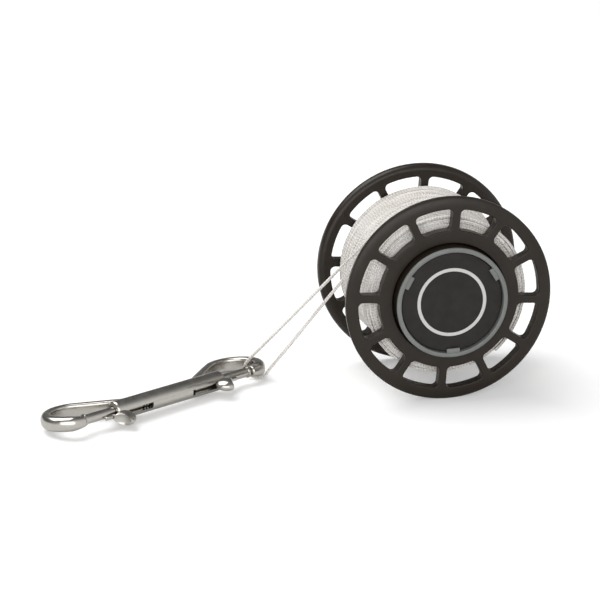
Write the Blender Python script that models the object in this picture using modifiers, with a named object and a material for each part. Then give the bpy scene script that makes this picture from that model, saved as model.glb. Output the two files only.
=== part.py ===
"""Finger spool with its line, its turning hub and a double-ended bolt snap.

Lengths are in metres, +Z is up. The spool stands on the rims of its two flanges
with its axis along Y and its front face towards -Y. The snap lies beside it.
"""
import math

import bmesh
import bpy
from mathutils import Matrix, Vector

# Round shapes
ROUND_STEPS = 48
DRUM_STEPS = 24
SMALL_STEPS = 16
BARREL_STEPS = 24
SCREW_STEPS = 10
BALL_STEPS = 16
CUT_OVERRUN = 0.001
MERGE_DISTANCE = 0.000001
SEAT_GAP = 0.0003
SHARP_DEGREES = 50
TURNED_SHARP_DEGREES = 35

# Flanges
FLANGE_RADIUS = 0.0452
FLANGE_THICKNESS = 0.0051
FLANGE_SPACING = 0.0470
RIM_FRONT_ROUND = 0.0010
RIM_BACK_ROUND = 0.0026
RIM_WIDTH = 0.0054
WINDOW_COUNT = 12
COLLAR_WIDTH = 0.0056
WINDOW_CORNER = 0.0020
CORNER_STEPS = 3
SPOKE_WIDTH = 0.0034
SPOKE_FIRST_DEGREES = -4

# Hub that turns inside the drum
HUB_RADIUS = 0.0244
HUB_RUNNING_GAP = 0.0005
HUB_PROUD = 0.0053
HUB_RING_WIDTH = 0.0020
HUB_EDGE = 0.0003
HUB_WEB = 0.0030
NECK_RADIUS = 0.0180
BADGE_RECESS = 0.0017
BADGE_THICKNESS = 0.0015
LEDGE_WIDTH = 0.0016
TAB_COUNT = 3
TAB_FIRST_DEGREES = 32
TAB_LENGTH = 0.0019
TAB_WIDTH = 0.0058
TAB_THICKNESS = 0.0010
TAB_RECESS = 0.0004

# Screws that hold the hub's two halves together
SCREW_COUNT = 3
SCREW_CIRCLE_RADIUS = 0.0120
SCREW_SHANK_RADIUS = 0.0014
SCREW_HEAD_RADIUS = 0.0028
SCREW_HEAD_HEIGHT = 0.0018
SCREW_REACH = 0.0034
SCREW_RECESS_RADIUS = 0.0013
SCREW_RECESS_DEPTH = 0.0009

# Drum
DRUM_WALL = 0.0027
SPIGOT_WALL = 0.0014
SPIGOT_LENGTH = 0.0025
RIB_THICKNESS = 0.0026

# Line and its winding
LINE_DIAMETER = 0.0014
WOUND_DEPTH = 0.0065
WINDING_RISE = 0.0019
WINDING_LEAN = 0.0004
WINDING_START_DEGREES = -50
WINDING_TURNS = 20
TURN_POINTS = 24
CORE_PROFILE_STEPS = 5
CORE_STEPS = 36

# Snap: where it lies, and how it is turned
SNAP_X = -0.1198
SNAP_Y = -0.0143
SNAP_HEIGHT = 0.0061
SNAP_TURN_DEGREES = 30.0
SNAP_ROLL_DEGREES = -7.4
SNAP_PITCH_DEGREES = 0.5

# Snap: barrel and hooks, cast in one
BARREL_RADIUS = 0.0042
BARREL_HALF_LENGTH = 0.0296
BARREL_END_ROUND = 0.0012
BARREL_WEB = 0.0024
HOOK_ROOT_DISTANCE = 0.0162
HOOK_ROOT_OFFSET = 0.0010
HOOK_RISE_DISTANCE = 0.0160
HOOK_RISE_DEGREES = 40
EYE_BEYOND_BARREL = 0.0147
EYE_OFFSET = 0.0081
EYE_HALF_LENGTH = 0.0117
EYE_HALF_WIDTH = 0.0110
EYE_START_DEGREES = 120
EYE_STOP_DEGREES = -52
HOOK_TIP_REACH = 0.0018
HOOK_TIP_OFFSET = -0.0014
HOOK_TIP_BEND = 0.0045
HOOK_TIP_EDGE = 0.0004
HOOK_ROOT_HALF_WIDTH = 0.0024
HOOK_ROOT_HALF_HEIGHT = 0.0022
HOOK_ARM_HALF_WIDTH = 0.0021
HOOK_ARM_HALF_HEIGHT = 0.0031
HOOK_END_HALF_WIDTH = 0.0026
HOOK_END_HALF_HEIGHT = 0.0031
HOOK_TIP_HALF_WIDTH = 0.0022
HOOK_TIP_HALF_HEIGHT = 0.0023
HOOK_SECTION_SHARE = 0.83
SECTION_STEPS = 12
ARM_STEPS = 5
EYE_STEPS = 14
TIP_STEPS = 3

# Snap: sliding bolts, thumb studs and springs
BOLT_RADIUS = 0.0021
BOLT_SLIDING_GAP = 0.0003
BOLT_INNER_END = 0.0146
BOLT_EDGE = 0.0003
BEAD_RADIUS = 0.0025
BEAD_LENGTH = 0.0016
SLOT_WIDTH = 0.0026
SLOT_INNER_END = 0.0110
SLOT_TURN_DEGREES = 14
STUD_PLAY_DEGREES = 6.5
STUD_DISTANCE = 0.0282
STUD_STEM_RADIUS = 0.0007
STUD_SOCKET_DEPTH = 0.0020
STUD_HALF_LENGTH = 0.0050
STUD_HALF_WIDTH = 0.0029
STUD_HALF_HEIGHT = 0.0048
STUD_CENTRE_HEIGHT = 0.0062
STUD_DISH_RADIUS = 0.0055
STUD_DISH_DEPTH = 0.0041
STUD_DISH_RISE = 0.0020
STUD_POST_LENGTH = 0.0030
STUD_FOOT_LENGTH = 0.0090
STUD_FOOT_WIDTH = 0.0013
STUD_FOOT_HEIGHT = 0.0016
SPRING_WIRE_DIAMETER = 0.0005
SPRING_COIL_RADIUS = 0.0016
SPRING_CURLS = 8
CURL_POINTS = 8

# Free loop of line, from the winding through the snap's right eye and back.
# A hand-picked route: x, y, z.
LOOP_ROUTE = (
    (-0.0264, -0.0020, 0.0683),
    (-0.0370, 0.0014, 0.0562),
    (-0.0502, 0.0057, 0.0411),
    (-0.0634, 0.0099, 0.0261),
    (-0.0730, 0.0130, 0.0152),
    (-0.0793, 0.0151, 0.0080),
    (-0.0801, 0.0153, 0.0063),
    (-0.0799, 0.0153, 0.0044),
    (-0.0789, 0.0149, 0.0027),
    (-0.0771, 0.0143, 0.0014),
    (-0.0748, 0.0134, 0.0009),
    (-0.0731, 0.0128, 0.0011),
    (-0.0717, 0.0123, 0.0021),
    (-0.0708, 0.0120, 0.0037),
    (-0.0658, 0.0097, 0.0110),
    (-0.0583, 0.0062, 0.0220),
    (-0.0479, 0.0014, 0.0374),
    (-0.0374, -0.0034, 0.0527),
    (-0.0291, -0.0072, 0.0649),
)
LOOP_STEPS_PER_DIAMETER_SHARE = 0.38

# Where the snap turns on the loop
SWIVEL_X = -0.0742
SWIVEL_Y = 0.0132

# Worked out from the sizes above
AXIS_HEIGHT = FLANGE_RADIUS * math.cos(math.pi / ROUND_STEPS)
FLANGE_INNER_FACE = FLANGE_SPACING / 2
FLANGE_OUTER_FACE = FLANGE_INNER_FACE + FLANGE_THICKNESS
BORE_RADIUS = HUB_RADIUS + HUB_RUNNING_GAP
WINDOW_OUTER_RADIUS = FLANGE_RADIUS - RIM_WIDTH
WINDOW_INNER_RADIUS = BORE_RADIUS + COLLAR_WIDTH
WINDOW_HEIGHT = WINDOW_OUTER_RADIUS - WINDOW_INNER_RADIUS
SPIGOT_RADIUS = BORE_RADIUS + SPIGOT_WALL
DRUM_RADIUS = BORE_RADIUS + DRUM_WALL
WINDING_WAIST_RADIUS = DRUM_RADIUS + WOUND_DEPTH
HUB_FACE = FLANGE_OUTER_FACE + HUB_PROUD
HUB_SHOULDER = RIB_THICKNESS / 2 + SEAT_GAP
HUB_CUP_FLOOR = HUB_SHOULDER + HUB_WEB
BADGE_FACE = HUB_FACE - BADGE_RECESS
BADGE_RADIUS = HUB_RADIUS - HUB_RING_WIDTH - SEAT_GAP
LEDGE_TOP = BADGE_FACE - BADGE_THICKNESS - SEAT_GAP
LEDGE_RADIUS = HUB_RADIUS - HUB_RING_WIDTH - LEDGE_WIDTH
LINE_RADIUS = LINE_DIAMETER / 2
EYE_CENTRE = BARREL_HALF_LENGTH + EYE_BEYOND_BARREL
TIP_FACE = EYE_CENTRE + HOOK_TIP_REACH
BOLT_TIP = TIP_FACE - SEAT_GAP
BORE_IN_BARREL = BOLT_RADIUS + BOLT_SLIDING_GAP
SPRING_FOOT = BARREL_WEB / 2 + SEAT_GAP
SPRING_HEAD = BOLT_INNER_END - SEAT_GAP


def empty_scene():
    for old in list(bpy.data.objects):
        bpy.data.objects.remove(old, do_unlink=True)
    for old in list(bpy.data.collections):
        bpy.data.collections.remove(old)


def new_collection(name):
    group = bpy.data.collections.new(name)
    bpy.context.scene.collection.children.link(group)
    return group


def finish(name, colour, roughness, metallic=0.0):
    made = bpy.data.materials.new(name)
    made.use_nodes = True
    shader = made.node_tree.nodes["Principled BSDF"]
    shader.inputs["Base Color"].default_value = (*colour, 1.0)
    shader.inputs["Roughness"].default_value = roughness
    shader.inputs["Metallic"].default_value = metallic
    return made


def add_part(name, mesh, material, parent=None, place=None):
    part = bpy.data.objects.new(name, mesh)
    parts.objects.link(part)
    mesh.materials.clear()
    mesh.materials.append(material)
    part.parent = parent
    if place is not None:
        part.matrix_local = place
    return part


def add_cutter(name, mesh, parent=None, place=None):
    cutter = bpy.data.objects.new(name, mesh)
    cutters.objects.link(cutter)
    cutter.hide_render = True
    cutter.display_type = "WIRE"
    cutter.parent = parent
    if place is not None:
        cutter.matrix_local = place
    return cutter


def add_frame(name, parent=None, place=None):
    frame = bpy.data.objects.new(name, None)
    parts.objects.link(frame)
    frame.parent = parent
    if place is not None:
        frame.matrix_local = place
    return frame


def boolean(part, tool, operation):
    modifier = part.modifiers.new(tool.name, "BOOLEAN")
    modifier.operation = operation
    modifier.solver = "EXACT"
    modifier.object = tool


def turned_mesh(name, profile, steps, half_step=False):
    """A profile of (radius, height) points turned about Z, top to bottom down its outer side."""
    phase = math.pi / steps if half_step else 0.0
    outline = bpy.data.meshes.new(name + "_profile")
    points = [(r * math.cos(phase), r * math.sin(phase), z) for r, z in profile]
    closed = profile[0][0] > 0
    edges = [(i, i + 1) for i in range(len(points) - 1)]
    if closed:
        edges.append((len(points) - 1, 0))
    outline.from_pydata(points, edges, [])
    holder = bpy.data.objects.new(name + "_profile", outline)
    cutters.objects.link(holder)
    screw = holder.modifiers.new("turn", "SCREW")
    screw.steps = steps
    screw.render_steps = steps
    screw.use_merge_vertices = True
    screw.merge_threshold = MERGE_DISTANCE
    mesh = baked_mesh(holder, name)
    mesh.shade_smooth()
    mesh.set_sharp_from_angle(angle=math.radians(TURNED_SHARP_DEGREES))
    return mesh


def baked_mesh(holder, name):
    """The evaluated shape of a helper object as a closed mesh; the helper is removed."""
    bpy.context.view_layer.update()
    graph = bpy.context.evaluated_depsgraph_get()
    mesh = bpy.data.meshes.new_from_object(holder.evaluated_get(graph), depsgraph=graph)
    mesh.name = name
    data = holder.data
    bpy.data.objects.remove(holder, do_unlink=True)
    if isinstance(data, bpy.types.Mesh):
        bpy.data.meshes.remove(data)
    else:
        bpy.data.curves.remove(data)
    shape = bmesh.new()
    shape.from_mesh(mesh)
    bmesh.ops.remove_doubles(shape, verts=shape.verts, dist=MERGE_DISTANCE)
    shape.to_mesh(mesh)
    shape.free()
    return mesh


def tube_mesh(name, points, radius, resolution):
    """A round tube with filled ends along the points."""
    curve = bpy.data.curves.new(name, "CURVE")
    curve.dimensions = "3D"
    curve.bevel_depth = radius
    curve.bevel_resolution = resolution
    curve.use_fill_caps = True
    spline = curve.splines.new("POLY")
    spline.points.add(len(points) - 1)
    for i, place in enumerate(points):
        spline.points[i].co = (*place, 1.0)
    holder = bpy.data.objects.new(name, curve)
    cutters.objects.link(holder)
    mesh = baked_mesh(holder, name)
    mesh.shade_smooth()
    mesh.set_sharp_from_angle(angle=math.radians(SHARP_DEGREES))
    return mesh


def plate_mesh(name, outlines, thickness):
    """Flat outlines in the XY plane, given half the thickness to each side."""
    curve = bpy.data.curves.new(name, "CURVE")
    curve.dimensions = "2D"
    curve.fill_mode = "BOTH"
    curve.extrude = thickness / 2
    for outline in outlines:
        spline = curve.splines.new("POLY")
        spline.points.add(len(outline) - 1)
        spline.use_cyclic_u = True
        for i, (x, y) in enumerate(outline):
            spline.points[i].co = (x, y, 0.0, 1.0)
    holder = bpy.data.objects.new(name, curve)
    cutters.objects.link(holder)
    return baked_mesh(holder, name)


def box_mesh(name, size):
    shape = bmesh.new()
    bmesh.ops.create_cube(shape, size=1.0, matrix=Matrix.Diagonal((*size, 1.0)))
    mesh = bpy.data.meshes.new(name)
    shape.to_mesh(mesh)
    shape.free()
    return mesh


def cylinder_mesh(name, radius, low, high, steps, phase=0.0):
    """A cylinder about Z between two heights."""
    middle = Matrix.Translation((0, 0, (low + high) / 2)) @ Matrix.Rotation(phase, 4, "Z")
    shape = bmesh.new()
    bmesh.ops.create_cone(shape, cap_ends=True, segments=steps, radius1=radius,
                          radius2=radius, depth=high - low, matrix=middle)
    mesh = bpy.data.meshes.new(name)
    shape.to_mesh(mesh)
    shape.free()
    mesh.shade_smooth()
    mesh.set_sharp_from_angle(angle=math.radians(TURNED_SHARP_DEGREES))
    return mesh


def ball_mesh(name, place):
    """A ball of one unit's radius, placed and sized by the matrix."""
    shape = bmesh.new()
    bmesh.ops.create_uvsphere(shape, u_segments=BALL_STEPS, v_segments=BALL_STEPS // 2, radius=1.0,
                              matrix=place)
    mesh = bpy.data.meshes.new(name)
    shape.to_mesh(mesh)
    shape.free()
    mesh.shade_smooth()
    mesh.set_sharp_from_angle(angle=math.radians(SHARP_DEGREES))
    return mesh


def around(count, first_degrees=0.0):
    return [math.radians(first_degrees) + 2 * math.pi * i / count for i in range(count)]


def arc(centre_r, centre_z, radius, start_degrees, stop_degrees, steps):
    points = []
    for i in range(steps + 1):
        angle = math.radians(start_degrees + (stop_degrees - start_degrees) * i / steps)
        points.append((centre_r + radius * math.cos(angle), centre_z + radius * math.sin(angle)))
    return points


def window_outline(middle_angle):
    """One rounded window between two spokes with parallel sides."""
    spacing = math.pi / WINDOW_COUNT
    corner = min(WINDOW_CORNER, WINDOW_HEIGHT / 3)
    offset = SPOKE_WIDTH / 2 + corner

    def corner_arc(side, radius, outer):
        centre_radius = radius - corner if outer else radius + corner
        angle = spacing - math.asin(offset / centre_radius)
        centre = Vector((centre_radius * math.cos(angle), side * centre_radius * math.sin(angle)))
        away = angle if outer else angle + math.pi
        across = spacing + math.pi / 2
        points = []
        for i in range(CORNER_STEPS + 1):
            turn = away + (across - away) * i / CORNER_STEPS
            points.append(centre + corner * Vector((math.cos(turn), side * math.sin(turn))))
        return points

    outer_right = corner_arc(-1, WINDOW_OUTER_RADIUS, True)
    outer_left = corner_arc(1, WINDOW_OUTER_RADIUS, True)
    inner_right = corner_arc(-1, WINDOW_INNER_RADIUS, False)
    inner_left = corner_arc(1, WINDOW_INNER_RADIUS, False)
    outline = list(reversed(outer_right))
    outline += arc_between(outer_right[0], outer_left[0], WINDOW_OUTER_RADIUS, 3)
    outline += outer_left
    outline += list(reversed(inner_left))
    outline += arc_between(inner_left[0], inner_right[0], WINDOW_INNER_RADIUS, 2)
    outline += inner_right
    turn = Matrix.Rotation(middle_angle, 2)
    return [turn @ point for point in outline]


def arc_between(first, last, radius, steps):
    start = math.atan2(first.y, first.x)
    stop = math.atan2(last.y, last.x)
    angles = [start + (stop - start) * i / steps for i in range(1, steps)]
    return [radius * Vector((math.cos(a), math.sin(a))) for a in angles]


def flange_profile():
    """From the bore's outer edge over the face and round the rim to the drum's seat."""
    seat_radius = SPIGOT_RADIUS + SEAT_GAP
    seat_depth = FLANGE_INNER_FACE + SPIGOT_LENGTH + SEAT_GAP
    front = arc(FLANGE_RADIUS - RIM_FRONT_ROUND, FLANGE_OUTER_FACE - RIM_FRONT_ROUND,
                RIM_FRONT_ROUND, 90, 0, 2)
    back = arc(FLANGE_RADIUS - RIM_BACK_ROUND, FLANGE_INNER_FACE + RIM_BACK_ROUND,
               RIM_BACK_ROUND, 0, -90, 3)
    return [(BORE_RADIUS, FLANGE_OUTER_FACE)] + front + back + [
        (seat_radius, FLANGE_INNER_FACE),
        (seat_radius, seat_depth),
        (BORE_RADIUS, seat_depth),
    ]


def build_flange(name, side_frame):
    mesh = turned_mesh(name, flange_profile(), ROUND_STEPS, half_step=True)
    flange = add_part(name, mesh, black_plastic, side_frame)
    first = SPOKE_FIRST_DEGREES if side_frame == spool_frame else -SPOKE_FIRST_DEGREES
    outlines = [window_outline(a) for a in around(WINDOW_COUNT, first + 180 / WINDOW_COUNT)]
    windows = plate_mesh(name + "_windows", outlines, FLANGE_THICKNESS + 2 * CUT_OVERRUN)
    middle = (FLANGE_INNER_FACE + FLANGE_OUTER_FACE) / 2
    cutter = add_cutter(name + "_windows", windows, side_frame, Matrix.Translation((0, 0, middle)))
    boolean(flange, cutter, "DIFFERENCE")
    return flange


def build_drum():
    """The tube that carries the line, with a spigot at each end and a rib inside."""
    shoulder = FLANGE_INNER_FACE - SEAT_GAP
    end = FLANGE_INNER_FACE + SPIGOT_LENGTH
    half_rib = RIB_THICKNESS / 2
    rib_radius = NECK_RADIUS + HUB_RUNNING_GAP
    profile = [
        (BORE_RADIUS, end), (SPIGOT_RADIUS, end), (SPIGOT_RADIUS, shoulder),
        (DRUM_RADIUS, shoulder), (DRUM_RADIUS, -shoulder), (SPIGOT_RADIUS, -shoulder),
        (SPIGOT_RADIUS, -end), (BORE_RADIUS, -end), (BORE_RADIUS, -half_rib),
        (rib_radius, -half_rib), (rib_radius, half_rib), (BORE_RADIUS, half_rib),
    ]
    return add_part("drum", turned_mesh("drum", profile, DRUM_STEPS), black_plastic, spool_frame)


def hub_half_profile():
    """A cup whose floor is a neck that reaches through the drum's rib to the mid-plane."""
    ring_inside = HUB_RADIUS - HUB_RING_WIDTH
    return [
        (0, HUB_CUP_FLOOR), (LEDGE_RADIUS, HUB_CUP_FLOOR), (LEDGE_RADIUS, LEDGE_TOP),
        (ring_inside, LEDGE_TOP), (ring_inside, HUB_FACE), (HUB_RADIUS - HUB_EDGE, HUB_FACE),
        (HUB_RADIUS, HUB_FACE - HUB_EDGE), (HUB_RADIUS, HUB_SHOULDER),
        (NECK_RADIUS, HUB_SHOULDER), (NECK_RADIUS, SEAT_GAP / 2), (0, SEAT_GAP / 2),
    ]


def build_hub_half(name, side_frame, through):
    mesh = turned_mesh(name, hub_half_profile(), ROUND_STEPS, half_step=True)
    half = add_part(name, mesh, grey_plastic, side_frame)
    top = HUB_FACE - TAB_RECESS
    tab_outer = HUB_RADIUS - HUB_RING_WIDTH / 2
    tab_inner = HUB_RADIUS - HUB_RING_WIDTH - TAB_LENGTH
    for i, angle in enumerate(around(TAB_COUNT, TAB_FIRST_DEGREES)):
        tab = box_mesh(f"{name}_tab_{i + 1}", (tab_outer - tab_inner, TAB_WIDTH, TAB_THICKNESS))
        centre = Vector(((tab_outer + tab_inner) / 2, 0, top - TAB_THICKNESS / 2))
        place = Matrix.Rotation(angle, 4, "Z") @ Matrix.Translation(centre)
        boolean(half, add_cutter(tab.name, tab, side_frame, place), "UNION")
    low = -CUT_OVERRUN
    high = HUB_CUP_FLOOR + CUT_OVERRUN if through else SCREW_REACH + SEAT_GAP
    for i, angle in enumerate(around(SCREW_COUNT, TAB_FIRST_DEGREES)):
        turn = angle if through else math.pi - angle
        hole = cylinder_mesh(f"{name}_hole_{i + 1}", SCREW_SHANK_RADIUS + SEAT_GAP, low, high,
                             SMALL_STEPS)
        place = Matrix.Rotation(turn, 4, "Z") @ Matrix.Translation((SCREW_CIRCLE_RADIUS, 0, 0))
        boolean(half, add_cutter(hole.name, hole, side_frame, place), "DIFFERENCE")
    return half


def build_screws():
    """Three screws, put in from the front half's cup and cut into the rear half's neck."""
    seat = HUB_CUP_FLOOR + SEAT_GAP
    top = seat + SCREW_HEAD_HEIGHT
    profile = [
        (0, top - SCREW_RECESS_DEPTH), (SCREW_RECESS_RADIUS, top - SCREW_RECESS_DEPTH),
        (SCREW_RECESS_RADIUS, top), (SCREW_HEAD_RADIUS, top), (SCREW_HEAD_RADIUS, seat),
        (SCREW_SHANK_RADIUS, seat), (SCREW_SHANK_RADIUS, -SCREW_REACH), (0, -SCREW_REACH),
    ]
    for i, angle in enumerate(around(SCREW_COUNT, TAB_FIRST_DEGREES)):
        name = f"hub_screw_{i + 1}"
        place = Matrix.Rotation(angle, 4, "Z") @ Matrix.Translation((SCREW_CIRCLE_RADIUS, 0, 0))
        add_part(name, turned_mesh(name, profile, SCREW_STEPS), steel, hub_frame, place)


def build_badge(name, side_frame):
    mesh = cylinder_mesh(name, BADGE_RADIUS, BADGE_FACE - BADGE_THICKNESS, BADGE_FACE,
                         ROUND_STEPS, math.pi / ROUND_STEPS)
    return add_part(name, mesh, badge_black, side_frame)


def winding_radius(height):
    """Outer radius of the wound line: fuller at the flanges, the rear one most, lower between them."""
    share = 2 * height / FLANGE_SPACING
    return WINDING_WAIST_RADIUS + WINDING_RISE * share ** 2 - WINDING_LEAN * share


def build_line_core():
    """The inner layers as one plain ring under the outer layer of turns."""
    chord_share = math.cos(math.pi / TURN_POINTS)
    end = FLANGE_INNER_FACE - SEAT_GAP
    inner = DRUM_RADIUS + SEAT_GAP
    profile = []
    for i in range(CORE_PROFILE_STEPS + 1):
        height = end - 2 * end * i / CORE_PROFILE_STEPS
        turn_centre = winding_radius(height) - LINE_RADIUS
        profile.append((turn_centre * chord_share - LINE_RADIUS - SEAT_GAP, height))
    profile += [(inner, -end), (inner, end)]
    return add_part("line_core", turned_mesh("line_core", profile, CORE_STEPS), white_line, spool_frame)


def least_self_gap(points, diameter, skip):
    """Least surface gap between stretches of one tube that aren't neighbours along it."""
    least = None
    for i, first in enumerate(points):
        for other in points[i + skip:]:
            distance = (first - other).length - diameter
            least = distance if least is None else min(least, distance)
    return least


def build_line_turns():
    """The outer layer: one unbroken tube that winds from one flange to the other."""
    reach = FLANGE_INNER_FACE - SEAT_GAP - LINE_RADIUS
    count = WINDING_TURNS * TURN_POINTS
    points = []
    for i in range(count + 1):
        share = i / count
        height = reach - 2 * reach * share
        radius = winding_radius(height) - LINE_RADIUS
        angle = 2 * math.pi * WINDING_TURNS * share + math.radians(WINDING_START_DEGREES)
        points.append(Vector((radius * math.cos(angle), radius * math.sin(angle), height)))
    first = (points[0] - points[1]).normalized()
    last = (points[-1] - points[-2]).normalized()
    points = [points[0] + first * LINE_DIAMETER] + points + [points[-1] + last * LINE_DIAMETER]
    gap = least_self_gap(points, LINE_DIAMETER, TURN_POINTS // 2)
    print("line_turns: least gap between turns, mm:", round(gap * 1000, 2))
    mesh = tube_mesh("line_turns", points, LINE_RADIUS, 1)
    return add_part("line_turns", mesh, white_line, spool_frame)


def smooth_route(route, step):
    """Points along a smooth curve through the route, closer together where the route is dense."""
    stops = [Vector(place) for place in route]
    stops = [2 * stops[0] - stops[1]] + stops + [2 * stops[-1] - stops[-2]]
    points = []
    for before, start, stop, after in zip(stops, stops[1:], stops[2:], stops[3:]):
        knots = [0.0]
        for near, far in ((before, start), (start, stop), (stop, after)):
            knots.append(knots[-1] + math.sqrt((far - near).length))
        cuts = max(2, round((stop - start).length / step))
        for i in range(cuts):
            t = knots[1] + (knots[2] - knots[1]) * i / cuts
            points.append(blended((before, start, stop, after), knots, t))
    points.append(stops[-2])
    return points


def blended(stops, knots, t):
    """One point of the centripetal curve between the middle two of four stops."""
    def mix(near, far, low, high):
        share = (t - knots[low]) / (knots[high] - knots[low])
        return near.lerp(far, share)

    ends = [mix(stops[i], stops[i + 1], i, i + 1) for i in range(3)]
    middles = [mix(ends[i], ends[i + 1], i, i + 2) for i in range(2)]
    return mix(middles[0], middles[1], 1, 2)


def build_line_loop():
    """Two taut strands and the bight round the end of the snap's right hook."""
    step = LINE_DIAMETER / LOOP_STEPS_PER_DIAMETER_SHARE
    points = smooth_route(LOOP_ROUTE, step)
    length = sum((b - a).length for a, b in zip(points, points[1:]))
    print("line_loop: length, mm:", round(length * 1000, 1), "points:", len(points))
    return add_part("line_loop", tube_mesh("line_loop", points, LINE_RADIUS, 2), white_line)


def eased(start, leave, stop, arrive, t):
    """A point on the curve that leaves the start and arrives at the stop along the given vectors."""
    return (start * (2 * t ** 3 - 3 * t ** 2 + 1) + leave * (t ** 3 - 2 * t ** 2 + t)
            + stop * (3 * t ** 2 - 2 * t ** 3) + arrive * (t ** 3 - t ** 2))


def on_eye(angle):
    return Vector((EYE_CENTRE + EYE_HALF_LENGTH * math.cos(angle),
                   EYE_OFFSET + EYE_HALF_WIDTH * math.sin(angle), 0))


def along_eye(angle):
    """Which way the hook runs at this angle of its eye, from the arm to the tip."""
    ahead = Vector((EYE_HALF_LENGTH * math.sin(angle), -EYE_HALF_WIDTH * math.cos(angle), 0))
    return ahead.normalized()


def hook_line():
    """The right hook's centre line in the snap's plane, and half its width and height along it."""
    rise = math.radians(HOOK_RISE_DEGREES)
    start = math.radians(EYE_START_DEGREES)
    stop = math.radians(EYE_STOP_DEGREES)
    root = Vector((BARREL_HALF_LENGTH - HOOK_ROOT_DISTANCE, HOOK_ROOT_OFFSET, 0))
    leave = HOOK_RISE_DISTANCE * Vector((math.cos(rise), math.sin(rise), 0))
    arrive = HOOK_RISE_DISTANCE * along_eye(start)
    tip = Vector((TIP_FACE, HOOK_TIP_OFFSET, 0))
    inward = Vector((-HOOK_TIP_BEND, 0, 0))
    root_size = Vector((HOOK_ROOT_HALF_WIDTH, HOOK_ROOT_HALF_HEIGHT))
    arm_size = Vector((HOOK_ARM_HALF_WIDTH, HOOK_ARM_HALF_HEIGHT))
    end_size = Vector((HOOK_END_HALF_WIDTH, HOOK_END_HALF_HEIGHT))
    tip_size = Vector((HOOK_TIP_HALF_WIDTH, HOOK_TIP_HALF_HEIGHT))
    line = []
    for i in range(ARM_STEPS):
        share = i / ARM_STEPS
        place = eased(root, leave, on_eye(start), arrive, share)
        line.append((place, root_size.lerp(arm_size, share)))
    for i in range(EYE_STEPS):
        share = i / EYE_STEPS
        thickening = (1 - math.cos(math.pi * share)) / 2
        line.append((on_eye(start + (stop - start) * share), arm_size.lerp(end_size, thickening)))
    for i in range(TIP_STEPS):
        share = i / TIP_STEPS
        leaving = HOOK_TIP_BEND * along_eye(stop)
        place = eased(on_eye(stop), leaving, tip, inward, share)
        line.append((place, end_size.lerp(tip_size, share)))
    edge = Vector((HOOK_TIP_EDGE, HOOK_TIP_EDGE))
    line.append((tip + Vector((HOOK_TIP_EDGE, 0, 0)), tip_size))
    line.append((tip, tip_size - edge))
    return line


def loft_mesh(name, line):
    """A closed bar along a flat line, with softly squared sections that differ along it."""
    shape = bmesh.new()
    rings = []
    for i, (centre, half_size) in enumerate(line):
        ahead = line[min(i + 1, len(line) - 1)][0] - line[max(i - 1, 0)][0]
        across = Vector((ahead.y, -ahead.x, 0)).normalized()
        ring = []
        for angle in around(SECTION_STEPS):
            side = math.cos(angle)
            rise = math.sin(angle)
            sideways = math.copysign(abs(side) ** HOOK_SECTION_SHARE, side) * half_size.x
            upward = math.copysign(abs(rise) ** HOOK_SECTION_SHARE, rise) * half_size.y
            ring.append(shape.verts.new(centre + across * sideways + Vector((0, 0, upward))))
        rings.append(ring)
    for near, far in zip(rings, rings[1:]):
        for k in range(SECTION_STEPS):
            after = (k + 1) % SECTION_STEPS
            shape.faces.new((near[k], near[after], far[after], far[k]))
    shape.faces.new(rings[0])
    shape.faces.new(rings[-1])
    bmesh.ops.recalc_face_normals(shape, faces=shape.faces)
    mesh = bpy.data.meshes.new(name)
    shape.to_mesh(mesh)
    shape.free()
    mesh.shade_smooth()
    mesh.set_sharp_from_angle(angle=math.radians(SHARP_DEGREES))
    return mesh


def build_snap_body():
    """One casting: a bored and slotted barrel with a hook at each end."""
    top = BARREL_HALF_LENGTH
    edge = BARREL_END_ROUND
    profile = [(0, top)] + arc(BARREL_RADIUS - edge, top - edge, edge, 90, 0, 2)
    profile += arc(BARREL_RADIUS - edge, edge - top, edge, 0, -90, 2) + [(0, -top)]
    mesh = turned_mesh("snap_body", profile, BARREL_STEPS)
    mesh.transform(Matrix.Rotation(math.pi / 2, 4, "Y"))
    body = add_part("snap_body", mesh, steel, snap_frame)
    for side, label in ((1, "right"), (-1, "left")):
        line = [(Vector((side * place.x, place.y, 0)), size) for place, size in hook_line()]
        hook = loft_mesh(f"{label}_hook", line)
        boolean(body, add_cutter(hook.name, hook, snap_frame), "UNION")
    for side, label in ((1, "right"), (-1, "left")):
        turn = Matrix.Rotation(side * math.pi / 2, 4, "Y")
        bore = cylinder_mesh(f"{label}_bore", BORE_IN_BARREL, BARREL_WEB / 2, top + CUT_OVERRUN,
                             SMALL_STEPS)
        boolean(body, add_cutter(bore.name, bore, snap_frame, turn), "DIFFERENCE")
        length = top + CUT_OVERRUN - SLOT_INNER_END
        depth = BARREL_RADIUS + CUT_OVERRUN
        slot = box_mesh(f"{label}_slot", (length, depth, SLOT_WIDTH))
        place = slot_turn @ Matrix.Translation((side * (SLOT_INNER_END + length / 2), -depth / 2, 0))
        boolean(body, add_cutter(slot.name, slot, snap_frame, place), "DIFFERENCE")
    return body


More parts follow.
